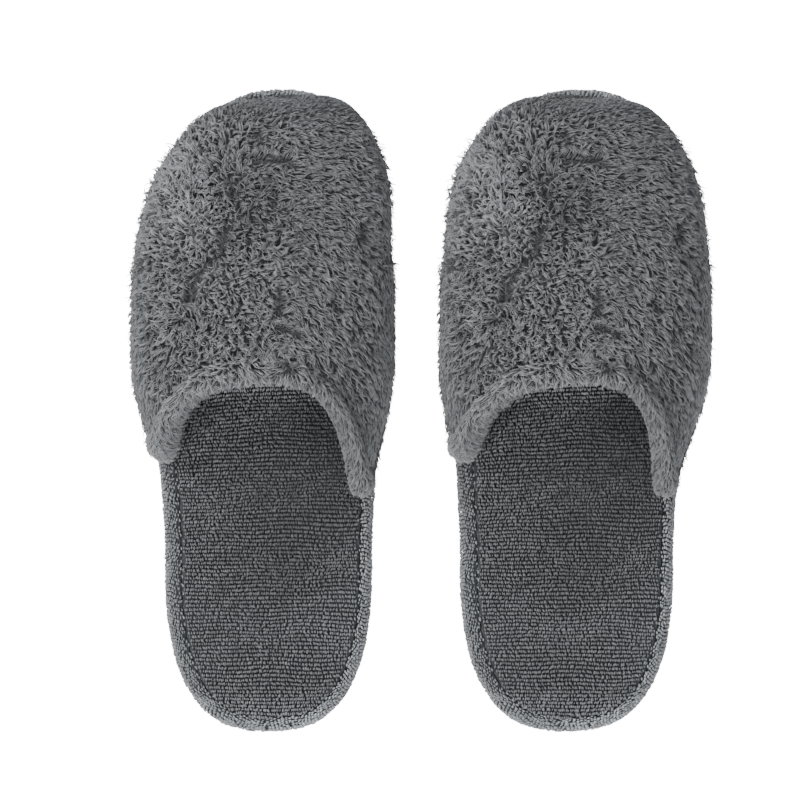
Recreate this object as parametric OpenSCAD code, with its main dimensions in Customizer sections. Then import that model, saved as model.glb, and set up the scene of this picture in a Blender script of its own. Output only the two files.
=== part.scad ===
// A pair of closed-toe spa slippers, side by side with the toes to +Y.
// Each slipper is a wrapped platform sole with a plush vamp sewn into its edge seam.
// Z is 0 on the floor. Each slipper has its own centre line, and "half" means half a width.

/* [Pair] */
// Clear gap between the two vamps
pair_gap = 18.4; // [10:0.2:60]
// Width of the right slipper against the left one
right_wide = 1.03; // [0.97:0.01:1.05]
// How far the left vamp leans sideways at the ball of the foot
left_lean = -2.4; // [-4:0.1:4]
// How far the right vamp leans sideways at the ball of the foot
right_lean = 3.7; // [-4:0.1:4]

/* [Sole outline] */
// Front end of the sole, from the middle of the slipper
toe_y = 138; // [132:0.5:145]
// Back end of the sole
heel_y = -137.5; // [-145:0.5:-130]
// Half width of the sole at the ball of the foot
ball_half = 50.5; // [48:0.5:54]
// Half width of the sole at the heel
heel_half = 44.4; // [42:0.2:47]
// How far the toe turns sideways
toe_turn = 5.6; // [0:0.1:7]

/* [Sole layers] */
// Thickness of the moulded outsole
outsole_h = 4; // [3:0.5:4]
// Top of the platform foam
foam_top = 10.4; // [9.6:0.2:10.8]
// Thickness of the insole board
board_h = 0.8; // [0.4:0.1:0.8]
// Top of the footbed foam
pad_top = 14; // [13:0.2:14]
// Top of the footbed cover
cover_top = 16; // [15.4:0.2:16]
// Distance of the edge seam from the outside of the side band
seam_inset = 6.8; // [6.6:0.1:7.4]
// Sideways shift of the edge seam
seam_shift = 1.3; // [0:0.1:1.5]

/* [Vamp] */
// Front end of the plush
vamp_toe_y = 136.5; // [134:0.5:136.5]
// Half width over the plush at the ball of the foot
vamp_half = 57; // [55:0.5:60]
// Height over the plush at the middle of the throat
throat_h = 66; // [58:1:76]
// Height over the plush above the toes
toe_h = 46; // [40:1:50]
// Throat edge on the centre line
throat_y = 12; // [8:1:18]
// How far back the left wing reaches behind the middle of the throat
left_wing = 32; // [28:1:40]
// How far back the right wing reaches behind the middle of the throat
right_wing = 48; // [40:1:50]
// Thickness of the plush with its pile
plush_t = 7; // [6:0.5:7]
// Thickness of the padding between plush and lining
padding_t = 2; // [1.5:0.5:2]
// Thickness of the lining
lining_t = 2; // [1:0.5:2]
// Length of the padded roll at the throat edge
roll_len = 8; // [6:0.5:9]

/* [Flex] */
// Where the sole bends, behind the wings
flex_y = -45; // [-50:1:-42]
// Gap between the front and back lengths of each sole layer
flex_gap = 0.4; // [0.4:0.1:1]

/* [Details] */
// Length of one stitch
stitch_len = 4.6; // [3:0.2:5]
// Distance from one stitch to the next
stitch_pitch = 7; // [6:0.5:10]
// Diameter of the sewing thread
thread_d = 0.8; // [0.5:0.1:0.8]
// Distance from one tread groove to the next
groove_pitch = 9; // [7:1:14]

/* [Hidden] */

// A slipper is [centre x, width factor, lean, how far each wing reaches back].
left = [-(pair_gap / 2) - vamp_half - left_lean, 1, left_lean, left_wing, right_wing];
right = [pair_gap / 2 + vamp_half * right_wide - right_lean, right_wide, right_lean, left_wing, right_wing];
// The pair's own box is centred on x = 0 by this much.
pair_shift = ((left_lean - vamp_half + left[0]) + (right[0] + right_lean + vamp_half * right_wide)) / -2;
// The pair's own box is centred on y = 0 by this much.
length_shift = -(toe_y + heel_y) / 2;

// Where the outline changes from a round end to the waist
ball_y = 35;
heel_round_y = -64;
vamp_ball_y = 40;
turn_y = 45;
// Where the crown starts to round down to the toe, and the length that it slopes over before
crown_round_y = 58;
crown_run = 98;
// How much lower the arch is behind the wings than at the throat
wing_drop = 20;
// Fullness of the round ends: 2 is an ellipse, and more is squarer.
toe_full = 2.5;
heel_full = 2.6;
// Stations along one side of an outline
toe_steps = 12;
waist_steps = 5;
heel_steps = 10;
// Clearance between layers that lie on each other
clear = 0.05;
// Depths from the outside of the side band to the edge of each layer
outsole_inset = 2;
foam_inset = 2.45;
board_inset = 3.4;
pad_inset = 6.35;
cover_inset = seam_inset + 0.75;
groove_depth = 1.2;
groove_w = 2;
groove_margin = 9;
vamp_t = plush_t + padding_t + lining_t;
// Section of the side band: depth from the outside, and height
band_section = [
    [1.9, 3.4], [0.9, 3.6], [0.25, 5.5], [0, 8.5], [0.5, 11.3], [1.8, 13.6], [3.8, 15.1], [5.5, 15.5],
    [6.2, 15.2], [6.25, pad_top + clear], [3.2, foam_top + board_h + 0.4], [2.4, foam_top - 0.2],
    [2.4, outsole_h + clear], [1.9, outsole_h + clear]
];
// Steps of the vamp's arch: the tuck under each side, and the arch over the foot
tuck_steps = 2;
arch_steps = 18;
arch_n = arch_steps + 2 * tuck_steps;
row_steps = 12;

function clamp(t) = max(0, min(1, t));
function ease(t) = pow(clamp(t), 2) * (3 - 2 * clamp(t));
function mix(a, b, t) = a + (b - a) * t;
// Falls from 1 at t = 0 to 0 at t = 1, as the side of a rounded end does
function round_end(t, full) = pow(1 - pow(clamp(t), full), 1 / full);
function turn(y) = pow(clamp((y - turn_y) / (toe_y - turn_y)), 2);
function mid(s, y) = mix(s[2] * ease((y - flex_y) / (ball_y - flex_y)), toe_turn, turn(y));

// ---- Sole outline, drawn in by a depth d from the outside of the side band ----
function sole_half(s, y, d) =
    y > ball_y ? (s[1] * ball_half - d) * round_end((y - ball_y) / (toe_y - d - ball_y), toe_full)
    : y < heel_round_y
        ? (s[1] * heel_half - d) * round_end((heel_round_y - y) / (heel_round_y - heel_y - d), heel_full)
        : s[1] * mix(heel_half, ball_half, ease((y - heel_round_y) / (ball_y - heel_round_y))) - d;
function sole_pt(s, y, hand, d) =
    [mid(s, y) + seam_shift * clamp(d / seam_inset) + hand * sole_half(s, y, d), y];
function fore_ys(d) = concat(
    [for (i = [0 : waist_steps]) mix(flex_y + flex_gap / 2, ball_y, i / waist_steps)],
    [for (i = [1 : toe_steps]) ball_y + (toe_y - d - ball_y) * sin(90 * i / toe_steps)]);
function heel_ys(d) = concat(
    [for (i = [0 : waist_steps - 3]) mix(flex_y - flex_gap / 2, heel_round_y, i / (waist_steps - 3))],
    [for (i = [1 : heel_steps]) heel_round_y + (heel_y + d - heel_round_y) * sin(90 * i / heel_steps)]);
// One open line round a half sole: out along one side, round the end, and back along the other
function half_line(s, ys, d) = concat(
    [for (y = ys) sole_pt(s, y, 1, d)],
    [for (i = [len(ys) - 2 : -1 : 0]) sole_pt(s, ys[i], -1, d)]);

// ---- Vamp surface at depth t under the pile's outside ----
function vamp_half_at(s, y, t) = y > vamp_ball_y
    ? (s[1] * vamp_half - t) * round_end((y - vamp_ball_y) / (vamp_toe_y - t - vamp_ball_y), toe_full)
    : s[1] * mix(heel_half, vamp_half, ease((y - flex_y) / (18 - flex_y))) - t;
// Half width where the vamp meets the band, as a share of its widest
function foot_share(s, y, t) =
    let (d = 1 + 5.4 * t / vamp_t, yy = min(y, vamp_ball_y))
    (sole_half(s, yy, d)) / vamp_half_at(s, yy, t);
function foot_z(t) = 15.2 + 0.9 * clamp(t / plush_t);
function crown(y) = y > throat_y
    ? mix(throat_h, toe_h, pow(clamp((y - throat_y) / crown_run), 1.3))
    : throat_h - wing_drop * ease((throat_y - y) / 50);
function crown_z(y, t) =
    foot_z(t) + (crown(y) - foot_z(t) - t) * round_end((y - crown_round_y) / (vamp_toe_y - t - crown_round_y), 2.5);
function wide_z(y, t) = mix(foot_z(t), crown_z(y, t), 0.24);
// Point of the vamp: arch runs from -tuck at the right foot through 0 to 180 at the left one
function arch_angle(i) = i < tuck_steps ? -90 * (1 - i / tuck_steps)
    : i > arch_n - tuck_steps ? 180 + 90 * (i - arch_n + tuck_steps) / tuck_steps
    : 180 * (i - tuck_steps) / arch_steps;
function side_of(i) = i < arch_n / 2 ? 1 : -1;
function tucked(i) = arch_angle(i) < 0 ? -arch_angle(i) / 90
    : arch_angle(i) > 180 ? (arch_angle(i) - 180) / 90 : 0;
function arch_x(i) = let (c = cos(arch_angle(i))) sign(c) * pow(abs(c), 0.82);
function vamp_pt(s, y, i, t) =
    let (w = vamp_half_at(s, y, t), k = tucked(i))
    k > 0
        ? [mid(s, y) + side_of(i) * w * mix(1, foot_share(s, y, t), k * k) + 0.6 * k * seam_shift * w / vamp_half,
           y, mix(wide_z(y, t), foot_z(t), k)]
        : [mid(s, y) + w * arch_x(i), y,
           mix(wide_z(y, t), crown_z(y, t), pow(sin(arch_angle(i)), 0.86))];
// The throat edge runs back down each wing: share is 0 on the crown and 1 at the foot.
function throat_edge(s, i) =
    let (share = clamp(abs(arch_angle(i) - 90) / 90), reach = side_of(i) > 0 ? s[4] : s[3])
    throat_y - reach * (1 - pow(1 - pow(share, 2.2), 3));
function column(s, i, t) =
    let (y0 = throat_edge(s, i) + roll_len, y1 = vamp_toe_y - t)
    [for (j = [0 : row_steps - 1]) vamp_pt(s, mix(y0, y1, sin(90 * j / row_steps)), i, t)];
function tip(s, t) = [mid(s, vamp_toe_y - t), vamp_toe_y - t, foot_z(t)];

// Two triangles on four corners
function quad(a, b, c, d) = [[a, b, c], [a, c, d]];
function joined(lists) = [for (l = lists) each l];

module place(s) {
    translate([s[0] + pair_shift, length_shift, 0]) children();
}

// Slab between two heights inside one half of the sole
module slab(s, ys, d, z0, z1) {
    place(s) translate([0, 0, z0]) linear_extrude(z1 - z0) polygon(half_line(s, ys, d));
}

// Closed section carried along a half outline, with flat ends
module band(s, fore) {
    n = len(band_section);
    lines = [for (p = band_section) half_line(s, fore ? fore_ys(p[0]) : heel_ys(p[0]), p[0])];
    m = len(lines[0]);
    points = [for (i = [0 : m - 1]) for (j = [0 : n - 1]) [lines[j][i].x, lines[j][i].y, band_section[j].y]];
    walls = joined([for (i = [0 : m - 2]) for (j = [0 : n - 1])
        let (k = (j + 1) % n)
        quad(i * n + j, i * n + k, (i + 1) * n + k, (i + 1) * n + j)]);
    near = [[for (j = [n - 1 : -1 : 0]) j]];
    far = [[for (j = [0 : n - 1]) (m - 1) * n + j]];
    turned = [for (f = concat(walls, near, far)) [for (q = [len(f) - 1 : -1 : 0]) f[q]]];
    place(s) polyhedron(points, fore ? concat(walls, near, far) : turned, convexity = 6);
}

// Short straight stitches laid along a half outline
module stitches(s, ys, d, z) {
    pts = half_line(s, ys, d);
    m = len(pts);
    run = [for (i = 0, l = 0; i < m; l = l + (i + 1 < m ? norm(pts[i + 1] - pts[i]) : 0), i = i + 1) l];
    xs = [for (i = [0 : m - 1]) [run[i], pts[i].x]];
    zs = [for (i = [0 : m - 1]) [run[i], pts[i].y]];
    place(s) for (l = [2 : stitch_pitch : run[m - 1] - stitch_len - 1]) {
        a = [lookup(l, xs), lookup(l, zs), z];
        b = [lookup(l + stitch_len, xs), lookup(l + stitch_len, zs), z];
        translate(a) rotate([0, 90, atan2(b.y - a.y, b.x - a.x)]) cylinder(d = thread_d, h = norm(b - a), $fn = 16);
    }
}

// Shell of the vamp between two depths, closed at the throat and along both feet
module shell(s, t0, t1) {
    n = arch_n + 1;
    m = row_steps;
    outer = joined([for (i = [0 : arch_n]) column(s, i, t0)]);
    inner = joined([for (i = [0 : arch_n]) column(s, i, t1)]);
    points = concat(outer, inner, [tip(s, t0), tip(s, t1)]);
    o = n * m;
    outer_tip = 2 * o;
    inner_tip = 2 * o + 1;
    skins = joined([for (i = [0 : n - 2]) for (j = [0 : m - 2])
        let (a = i * m + j, b = a + m)
        concat(quad(a, a + 1, b + 1, b), quad(o + a, o + b, o + b + 1, o + a + 1))]);
    noses = joined([for (i = [0 : n - 2])
        let (a = i * m + m - 1, b = a + m)
        [[a, outer_tip, b], [o + b, inner_tip, o + a]]]);
    mouth = joined([for (i = [0 : n - 2]) let (a = i * m, b = a + m) quad(a, b, o + b, o + a)]);
    last = (n - 1) * m;
    feet = joined([for (j = [0 : m - 2])
        concat(quad(j, o + j, o + j + 1, j + 1), quad(last + j, last + j + 1, o + last + j + 1, o + last + j))]);
    toes = concat(
        quad(m - 1, o + m - 1, inner_tip, outer_tip),
        quad(last + m - 1, outer_tip, inner_tip, o + last + m - 1));
    place(s) polyhedron(points, concat(skins, noses, mouth, feet, toes), convexity = 8);
}

module outsole(s, ys) {
    color("#3f4143") difference() {
        slab(s, ys, outsole_inset, 0, outsole_h);
        place(s) for (y = [heel_y + 18 : groove_pitch : toe_y - 18]) {
            half = sole_half(s, y, outsole_inset) - groove_margin;
            if (abs(y - flex_y) > groove_w + 1)
                translate([mid(s, y) - half, y - groove_w / 2, -1]) cube([2 * half, groove_w, groove_depth + 1]);
        }
    }
}

module platform_foam(s, ys) {
    color("#d9d7d0") slab(s, ys, foam_inset, outsole_h + clear, foam_top - clear);
}

module insole_board(s, ys) {
    color("#b39a74") slab(s, ys, board_inset, foam_top, foam_top + board_h);
}

module footbed_foam(s, ys) {
    color("#e4e1d8") slab(s, ys, pad_inset, foam_top + board_h + clear, pad_top - clear);
}

module footbed_cover(s, ys) {
    color("#535557") slab(s, ys, cover_inset, pad_top, cover_top);
}

module side_band(s, fore) {
    color("#6b6d70") band(s, fore);
}

module edge_stitching(s, ys) {
    color("#343638") stitches(s, ys, seam_inset, pad_top + 0.7);
}

// Upright stitches over the butt seam of the side band, beside the middle of the heel
module heel_band_stitching(s) {
    y = heel_y + 2.9;
    at = sole_pt(s, y, 1, 0);
    color("#343638") place(s) for (z = [5, 8.6])
        translate([at.x + 0.6, at.y - 0.6, z]) cylinder(d = thread_d, h = 2.6, $fn = 16);
}

module vamp_plush(s) {
    color("#66686b") shell(s, 0, plush_t);
}

module vamp_padding(s) {
    color("#cfccc4") shell(s, plush_t + clear, plush_t + padding_t - clear);
}

module vamp_lining(s) {
    color("#56585a") shell(s, plush_t + padding_t, vamp_t);
}

// Padded roll along the throat edge, with a round back
module throat_roll(s) {
    front = roll_len - 6 * clear;
    section = [
        [0, front], [0, 4.6], [1.6, 1.5], [vamp_t / 2, 0], [vamp_t - 1.6, 1.5], [vamp_t, 4.6],
        [vamp_t, front], [plush_t, front]
    ];
    n = len(section);
    m = arch_n + 1;
    points = [for (i = [0 : arch_n]) for (p = section) vamp_pt(s, throat_edge(s, i) + p.y, i, p.x)];
    walls = joined([for (i = [0 : m - 2]) for (j = [0 : n - 1])
        let (k = (j + 1) % n)
        quad(i * n + k, i * n + j, (i + 1) * n + j, (i + 1) * n + k)]);
    near = [for (j = [1 : n - 2]) [0, j, j + 1]];
    far = [for (j = [1 : n - 2]) [(m - 1) * n, (m - 1) * n + j + 1, (m - 1) * n + j]];
    color("#7b7e82") place(s) polyhedron(points, concat(walls, near, far), convexity = 8);
}

outsole(left, fore_ys(outsole_inset));  // left_outsole_fore
outsole(left, heel_ys(outsole_inset));  // left_outsole_heel
platform_foam(left, fore_ys(foam_inset));  // left_platform_foam_fore
platform_foam(left, heel_ys(foam_inset));  // left_platform_foam_heel
insole_board(left, fore_ys(board_inset));  // left_insole_board_fore
insole_board(left, heel_ys(board_inset));  // left_insole_board_heel
footbed_foam(left, fore_ys(pad_inset));  // left_footbed_foam_fore
footbed_foam(left, heel_ys(pad_inset));  // left_footbed_foam_heel
footbed_cover(left, fore_ys(cover_inset));  // left_footbed_cover_fore
footbed_cover(left, heel_ys(cover_inset));  // left_footbed_cover_heel
side_band(left, true);  // left_side_band_fore
side_band(left, false);  // left_side_band_heel
edge_stitching(left, fore_ys(seam_inset));  // left_edge_stitching_fore
edge_stitching(left, heel_ys(seam_inset));  // left_edge_stitching_heel
heel_band_stitching(left);  // left_heel_band_stitching
vamp_plush(left);  // left_vamp_plush
vamp_padding(left);  // left_vamp_padding
vamp_lining(left);  // left_vamp_lining
throat_roll(left);  // left_throat_roll
outsole(right, fore_ys(outsole_inset));  // right_outsole_fore
outsole(right, heel_ys(outsole_inset));  // right_outsole_heel
platform_foam(right, fore_ys(foam_inset));  // right_platform_foam_fore
platform_foam(right, heel_ys(foam_inset));  // right_platform_foam_heel
insole_board(right, fore_ys(board_inset));  // right_insole_board_fore
insole_board(right, heel_ys(board_inset));  // right_insole_board_heel
footbed_foam(right, fore_ys(pad_inset));  // right_footbed_foam_fore
footbed_foam(right, heel_ys(pad_inset));  // right_footbed_foam_heel
footbed_cover(right, fore_ys(cover_inset));  // right_footbed_cover_fore
footbed_cover(right, heel_ys(cover_inset));  // right_footbed_cover_heel
side_band(right, true);  // right_side_band_fore
side_band(right, false);  // right_side_band_heel
edge_stitching(right, fore_ys(seam_inset));  // right_edge_stitching_fore
edge_stitching(right, heel_ys(seam_inset));  // right_edge_stitching_heel
heel_band_stitching(right);  // right_heel_band_stitching
vamp_plush(right);  // right_vamp_plush
vamp_padding(right);  // right_vamp_padding
vamp_lining(right);  // right_vamp_lining
throat_roll(right);  // right_throat_roll
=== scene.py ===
import bpy
import numpy as np
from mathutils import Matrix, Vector
from mathutils.kdtree import KDTree


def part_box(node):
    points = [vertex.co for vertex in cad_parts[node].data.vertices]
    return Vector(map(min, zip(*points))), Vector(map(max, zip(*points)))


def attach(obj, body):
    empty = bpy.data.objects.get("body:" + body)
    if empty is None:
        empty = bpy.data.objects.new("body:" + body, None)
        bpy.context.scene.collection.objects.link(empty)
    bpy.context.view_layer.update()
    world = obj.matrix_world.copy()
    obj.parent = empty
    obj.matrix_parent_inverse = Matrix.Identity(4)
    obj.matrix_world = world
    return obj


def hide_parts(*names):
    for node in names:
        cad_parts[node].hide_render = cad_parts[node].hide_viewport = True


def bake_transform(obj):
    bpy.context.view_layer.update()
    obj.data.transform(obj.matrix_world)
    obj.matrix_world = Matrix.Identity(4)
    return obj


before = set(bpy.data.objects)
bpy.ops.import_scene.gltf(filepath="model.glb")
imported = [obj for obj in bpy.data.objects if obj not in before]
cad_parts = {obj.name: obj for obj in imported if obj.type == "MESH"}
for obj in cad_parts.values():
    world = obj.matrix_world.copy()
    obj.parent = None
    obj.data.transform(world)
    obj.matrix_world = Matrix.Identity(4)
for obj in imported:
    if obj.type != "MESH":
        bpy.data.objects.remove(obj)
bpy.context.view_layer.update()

# The cut of one slipper in millimetres: toes to +y, z up from the floor, x from its own centre line.
# Names ending in Full are powers of a superellipse: 2 is round, more is squarer.
cut = {
    "toeY": 138, "heelY": -137.5, "ballHalf": 50.5, "heelHalf": 44.4, "toeTurn": 5.6,
    "ballY": 35, "heelRoundY": -64, "turnY": 45, "flexY": -45, "toeFull": 2.5, "heelFull": 2.6,
    "seamInset": 6.8, "seamShift": 1.3,
    "vampToeY": 136.5, "vampBallY": 40, "vampHalf": 57, "vampDeep": 11, "throatH": 66, "toeH": 46,
    "throatY": 12, "leftWing": 32, "rightWing": 48, "crownRoundY": 58, "crownRun": 98, "wingDrop": 20,
    "crownFull": 2.5, "footZ": 15.2, "footRise": 0.9, "sideShare": 0.24, "archAcross": 0.82, "archUp": 0.86,
    "rollLen": 8, "bendY": (-34, -78), "bendZ": 16.5,
}
# The two slippers are cut alike. The right one is a size wider, and its vamp leans the other way.
# full: how much the fluffed pile fills out the toe's right and left corner.
slippers = {"left": {"wide": 1.0, "lean": -2.4, "full": (3.4, 0.5)},
            "right": {"wide": 1.03, "lean": 3.7, "full": (1.4, 2.8)}}
for side, s in slippers.items():
    low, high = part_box(side + "_side_band_heel")
    s["name"] = side
    s["at"] = np.array([(low.x + high.x) * 500, low.y * 1000 - cut["heelY"], 0])
    s["bend"] = [Vector((s["at"][0] / 1000, y / 1000, cut["bendZ"] / 1000)) for y in cut["bendY"]]


def ease(t):  # 3t^2 - 2t^3 between 0 and 1
    t = np.clip(t, 0, 1)
    return t * t * (3 - 2 * t)


def mix(a, b, t):
    return a + (b - a) * t


def roundEnd(t, full):  # falls from 1 to 0 as a superellipse does: (1 - t^full)^(1/full)
    return np.maximum(1 - np.clip(t, 0, 1) ** full, 0) ** (1 / full)


def unit(v):
    return v / np.maximum(np.linalg.norm(v, axis=-1, keepdims=True), 1e-9)


def middle(s, y):  # the slipper's middle line: it leans at the ball, then turns with the toes as a square
    lean = s["lean"] * ease((y - cut["flexY"]) / (cut["ballY"] - cut["flexY"]))
    return mix(lean, cut["toeTurn"], np.clip((y - cut["turnY"]) / (cut["toeY"] - cut["turnY"]), 0, 1) ** 2)


def soleHalf(s, y, depth=0.0):  # half width of the sole: superellipse ends on an eased waist
    ball, heel = s["wide"] * cut["ballHalf"] - depth, s["wide"] * cut["heelHalf"] - depth
    front = ball * roundEnd((y - cut["ballY"]) / (cut["toeY"] - depth - cut["ballY"]), cut["toeFull"])
    back = (cut["heelRoundY"] - y) / (cut["heelRoundY"] - cut["heelY"] - depth)
    back = heel * roundEnd(back, cut["heelFull"])
    waist = mix(heel, ball, ease((y - cut["heelRoundY"]) / (cut["ballY"] - cut["heelRoundY"])))
    return np.where(y > cut["ballY"], front, np.where(y < cut["heelRoundY"], back, waist))


def outline(s):  # closed line round the sole, from the heel up the right side and down the left one
    turn = np.sin(np.linspace(0, np.pi / 2, 500))
    y = np.concatenate([
        cut["heelRoundY"] + (cut["heelY"] - cut["heelRoundY"]) * turn[::-1],
        np.linspace(cut["heelRoundY"], cut["ballY"], 200)[1:-1],
        cut["ballY"] + (cut["toeY"] - cut["ballY"]) * turn])
    right = np.column_stack([middle(s, y) + soleHalf(s, y), y])
    left = np.column_stack([middle(s, y) - soleHalf(s, y), y])[::-1]
    loop = np.concatenate([right, left[1:]])
    return np.r_[0, np.cumsum(np.linalg.norm(np.diff(loop, axis=0), axis=1))], loop


for s in slippers.values():
    s["run"], s["loop"] = outline(s)
    s["round"] = s["run"][-1]


def onOutline(s, run):
    run = np.mod(run, s["round"])
    return np.interp(run, s["run"], s["loop"][:, 0]), np.interp(run, s["run"], s["loop"][:, 1])


def edgePoint(s, run, depth):  # the outline's point, moved inwards along its normal by depth
    x, y = onOutline(s, run)
    x0, y0 = onOutline(s, run - 2)
    x1, y1 = onOutline(s, run + 2)
    size = np.hypot(x1 - x0, y1 - y0)
    shift = cut["seamShift"] * np.clip(depth / cut["seamInset"], 0, 1)
    return x - (y1 - y0) / size * depth + shift, y + (x1 - x0) / size * depth


def vampHalfAt(s, y, t):  # half width of the vamp, t under the outside of the pile
    wide = s["wide"] * cut["vampHalf"]
    front = (y - cut["vampBallY"]) / (cut["vampToeY"] - t - cut["vampBallY"])
    back = mix(s["wide"] * cut["heelHalf"], wide, ease((y - cut["flexY"]) / (18 - cut["flexY"]))) - t
    return np.where(y > cut["vampBallY"], (wide - t) * roundEnd(front, cut["toeFull"]), back)


def vampPoint(s, y, a, t):
    # A superellipse arch over the foot at each y. The angle a goes from 0 (right) to 180 (left), and 90
    # degrees more at each side tucks the vamp under to the seam.
    foot = cut["footZ"] + cut["footRise"] * np.clip(t / 7, 0, 1)
    front = mix(cut["throatH"], cut["toeH"], np.clip((y - cut["throatY"]) / cut["crownRun"], 0, 1) ** 1.3)
    wing = cut["throatH"] - cut["wingDrop"] * ease((cut["throatY"] - y) / 50)
    crown = np.where(y > cut["throatY"], front, wing)
    drop = roundEnd((y - cut["crownRoundY"]) / (cut["vampToeY"] - t - cut["crownRoundY"]), cut["crownFull"])
    top = foot + (crown - foot - t) * drop
    side = mix(foot, top, cut["sideShare"])
    w, near = vampHalfAt(s, y, t), np.minimum(y, cut["vampBallY"])
    tuck = np.clip(np.maximum(-a, a - 180) / 90, 0, 1)
    share = soleHalf(s, near, 1 + 5.4 * t / cut["vampDeep"]) / vampHalfAt(s, near, t)
    c, up = np.cos(np.radians(np.clip(a, 0, 180))), np.sin(np.radians(np.clip(a, 0, 180)))
    over = np.sign(c) * np.abs(c) ** cut["archAcross"]
    x = np.where(tuck > 0, np.sign(90 - a) * mix(1, share, tuck ** 2), over)
    x = middle(s, y) + w * (x + 0.6 * tuck * cut["seamShift"] / cut["vampHalf"])
    z = np.where(tuck > 0, mix(side, foot, tuck), mix(side, top, np.maximum(up, 0) ** cut["archUp"]))
    return np.stack(np.broadcast_arrays(x, y, z), -1)


def throatEdge(a):  # y of the throat's edge: it runs back down each wing by reach * (1 - (1 - share^2.2)^3)
    share = np.clip(np.abs(a - 90) / 90, 0, 1)
    reach = np.where(a < 90, cut["rightWing"], cut["leftWing"])
    return cut["throatY"] - reach * (1 - (1 - share ** 2.2) ** 3)


def alongVamp(a, v, t, start):  # y from the throat's edge (v = 0) to the toe (v = 1), by the sine of v
    return mix(throatEdge(a) + start, cut["vampToeY"] - t, np.sin(np.pi / 2 * v))


def wander(x, y, size, seed):  # a smooth random field: a third of the sum of six sine waves near this size
    way = np.random.default_rng(seed)
    turn, phase, step = way.uniform(0, 2 * np.pi, 6), way.uniform(0, 2 * np.pi, 6), way.uniform(0.7, 1.6, 6)
    waves = [np.sin(2 * np.pi * (x * np.cos(q) + y * np.sin(q)) / (size * k) + f)
             for q, f, k in zip(turn, phase, step)]
    return sum(waves) / 3


def gridFaces(rows, cols, wrap=False):
    # Two triangles on each cell of a grid; with wrap the last column joins the first
    i, j = np.meshgrid(np.arange(rows - 1), np.arange(cols if wrap else cols - 1), indexing="ij")
    k = (j + 1) % cols
    a, b, c, d = (q.ravel() for q in (i * cols + j, i * cols + k, (i + 1) * cols + k, (i + 1) * cols + j))
    return np.concatenate([np.stack([a, b, c], 1), np.stack([a, c, d], 1)])


def weld(points, faces):  # points that lie together become one, and a face that loses a corner goes
    _, first, same = np.unique(np.round(points, 4), axis=0, return_index=True, return_inverse=True)
    faces = same.reshape(-1)[faces]
    whole = (faces[:, 0] != faces[:, 1]) & (faces[:, 1] != faces[:, 2]) & (faces[:, 2] != faces[:, 0])
    return points[first], faces[whole]


def makePiece(s, name, points, faces, finish, slotName, **values):
    # Millimetres from the centre line become metres. A negative volume turns the faces.
    points = points.reshape(-1, 3)
    a, b, c = points[faces[:, 0]], points[faces[:, 1]], points[faces[:, 2]]
    if np.einsum("ij,ij->", a, np.cross(b, c)) < 0:
        faces = faces[:, ::-1]
    mesh = bpy.data.meshes.new(s["name"] + "_" + name)
    mesh.vertices.add(len(points))
    mesh.vertices.foreach_set("co", ((points + s["at"]) / 1000).astype(np.float32).ravel())
    mesh.loops.add(faces.size)
    mesh.loops.foreach_set("vertex_index", faces.astype(np.int32).ravel())
    mesh.polygons.add(len(faces))
    mesh.polygons.foreach_set("loop_start", np.arange(0, faces.size, 3, dtype=np.int32))
    mesh.polygons.foreach_set("use_smooth", np.ones(len(faces), bool))
    for key, value in values.items():
        mesh.attributes.new(key, "FLOAT", "POINT").data.foreach_set("value", value.astype(np.float32).ravel())
    mesh.update(calc_edges=True)
    mesh.materials.append(finish)
    piece = bpy.data.objects.new(mesh.name, mesh)
    bpy.context.collection.objects.link(piece)
    return piece


def bendWithSole(piece):
    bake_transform(piece)


def replaceBoth(s, node):
    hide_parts(f"{s['name']}_{node}_fore", f"{s['name']}_{node}_heel")


def linear(code):  # an sRGB hex colour as linear red, green, blue and 1
    part = np.array([int(code[i:i + 2], 16) / 255 for i in (1, 3, 5)])
    part = np.where(part <= 0.04045, part / 12.92, ((part + 0.055) / 1.055) ** 2.4)
    return (*part.tolist(), 1)


def addNode(tree, kind, settings, sockets):
    # Adds a node: settings go on the node itself, and each socket takes a value or a link from an output.
    made = tree.nodes.new(kind)
    for key, value in settings.items():
        setattr(made, key, value)
    for key, value in sockets.items():
        if isinstance(value, bpy.types.NodeSocket):
            tree.links.new(value, made.inputs[key])
        else:
            made.inputs[key].default_value = value
    return made


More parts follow.
